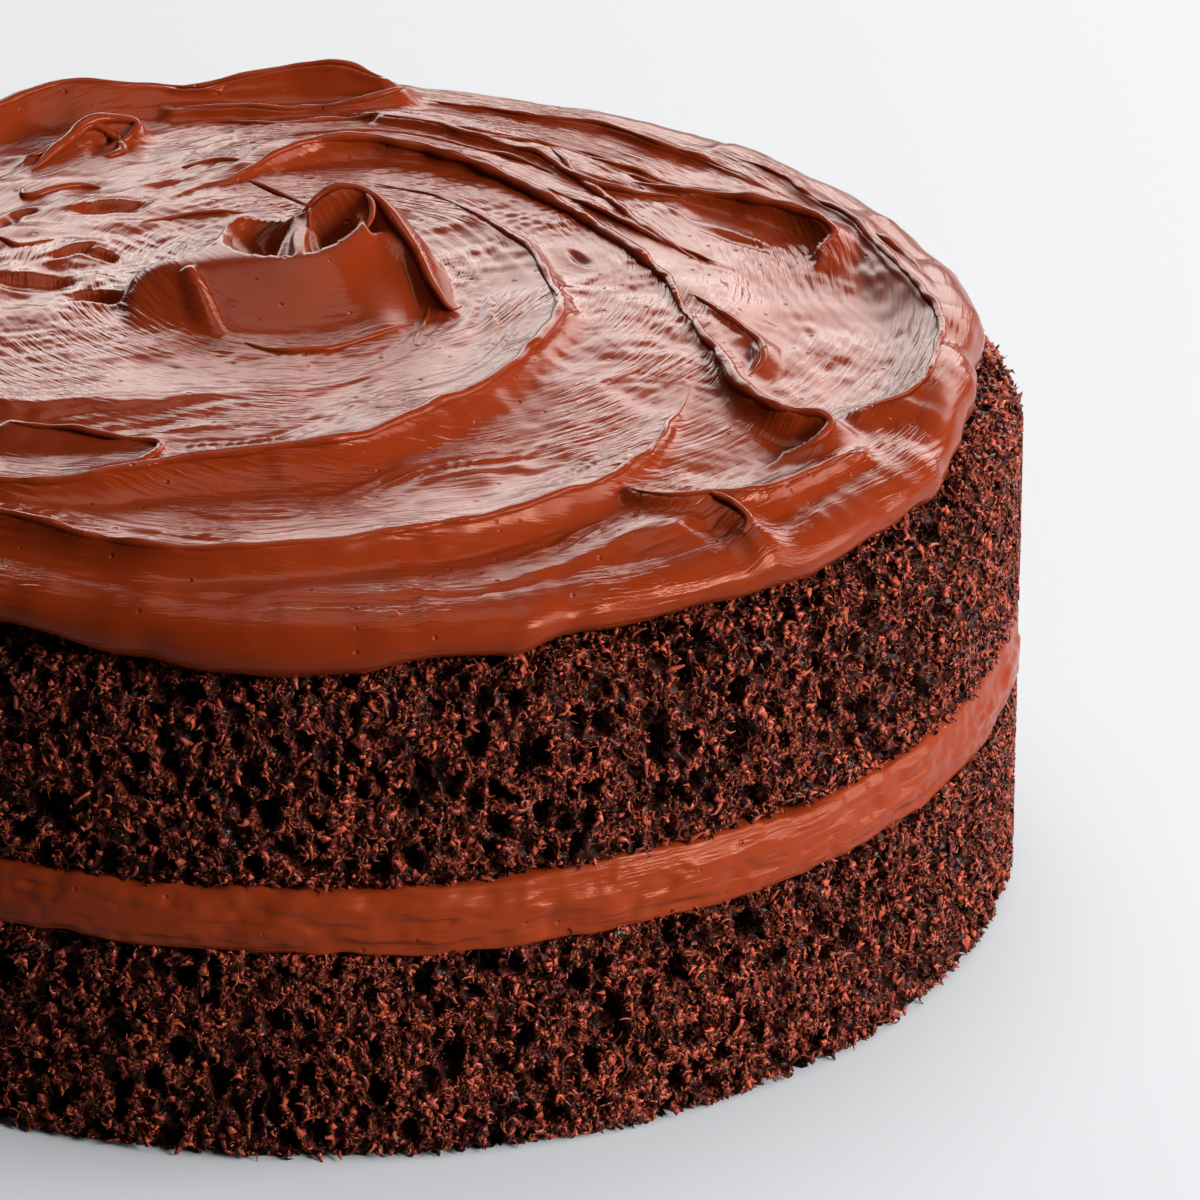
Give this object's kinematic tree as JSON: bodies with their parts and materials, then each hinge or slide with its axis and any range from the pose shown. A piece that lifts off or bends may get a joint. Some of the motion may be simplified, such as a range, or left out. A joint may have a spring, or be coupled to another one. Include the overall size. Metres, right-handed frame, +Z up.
{
  "type": "chocolate cake",
  "caption": "Round chocolate layer cake with bare cragged crumb sides, a frosting filling between its sponge layers and a thick swirled frosting top.",
  "frame": {"origin": "middle of the lower sponge's flat underside, on the cake's upright axis", "axes": "+Z up; -Y towards the side the picture was taken from; +X to that side's right"},
  "size_m": [0.204, 0.2057, 0.1011],
  "materials": {
    "sponge": "moist dark chocolate crumb, open and cragged",
    "frosting": "glossy milk chocolate frosting, drawn into soft ridges"
  },
  "bodies": {
    "root": {"lower_sponge": "sponge", "filling": "frosting", "upper_sponge": "sponge", "top_frosting": "frosting"}
  },
  "joints": []
}
